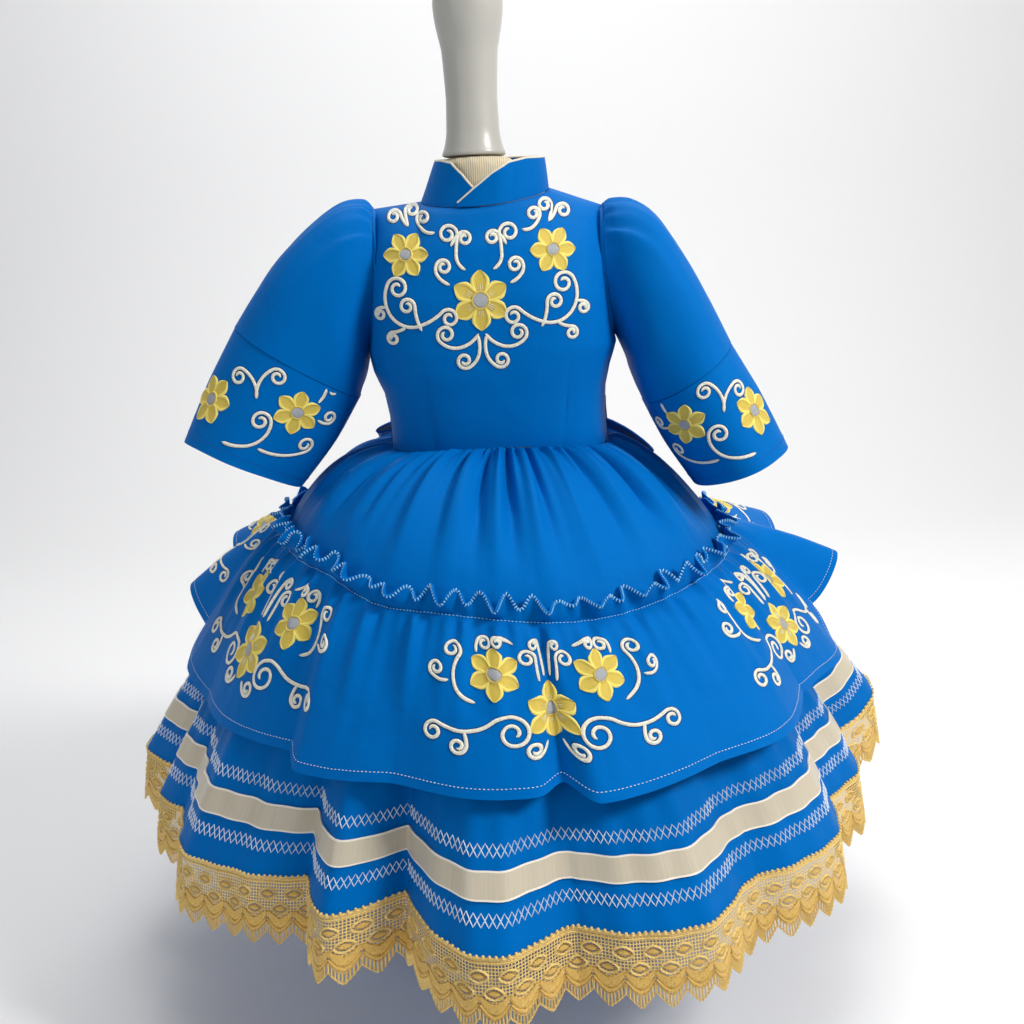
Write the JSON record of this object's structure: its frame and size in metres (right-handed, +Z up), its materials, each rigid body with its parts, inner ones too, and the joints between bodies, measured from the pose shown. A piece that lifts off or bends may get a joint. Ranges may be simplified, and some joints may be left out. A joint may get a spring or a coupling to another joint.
{
  "type": "escaramuza dress on a limbless dress form",
  "caption": "Girl's tiered riding dress with stand collar, puffed flared sleeves, embroidered flounce, ribbon and scalloped lace hem, shown on a short dress form with a round stand.",
  "frame": {"origin": "centre of the stand's flat underside, on the axis of its pole", "axes": "+Z up, the dress faces -Y, +X towards the viewer's right when seen from the front"},
  "size_m": [0.7601, 0.7444, 0.9203],
  "materials": {
    "dress_cloth": "bright blue twill-backed satin with a soft sheen",
    "satin_ribbon": "beige satin ribbon",
    "gold_lace": "golden guipure lace",
    "scroll_thread": "ivory satin stitch",
    "flower_cloth": "golden yellow applique with stitched edges",
    "flower_centre": "silver grey stitching",
    "stitch_thread": "off-white and pale blue sewing thread",
    "form_jersey": "cream jersey cover",
    "neck_white": "white, slightly glossy",
    "stand_paint": "white paint"
  },
  "bodies": {
    "root": {"bodice_front": "dress_cloth", "bodice_back_left": "dress_cloth", "bodice_back_right": "dress_cloth", "collar_left": "dress_cloth", "collar_right": "dress_cloth", "sleeve_left": "dress_cloth", "cuff_left": "dress_cloth", "sleeve_right": "dress_cloth", "cuff_right": "dress_cloth", "skirt_tier": "dress_cloth", "flounce": "dress_cloth", "lower_tier": "dress_cloth", "sash_left": "dress_cloth", "sash_right": "dress_cloth", "bow_knot": "dress_cloth", "bow_loop_left": "dress_cloth", "bow_loop_right": "dress_cloth", "bow_tail_left": "dress_cloth", "bow_tail_right": "dress_cloth", "ribbon_band": "satin_ribbon", "lace_edge": "gold_lace", "form_torso": "form_jersey", "neck_block": "neck_white", "stand_pole": "stand_paint", "stand_base": "stand_paint"}
  },
  "joints": []
}
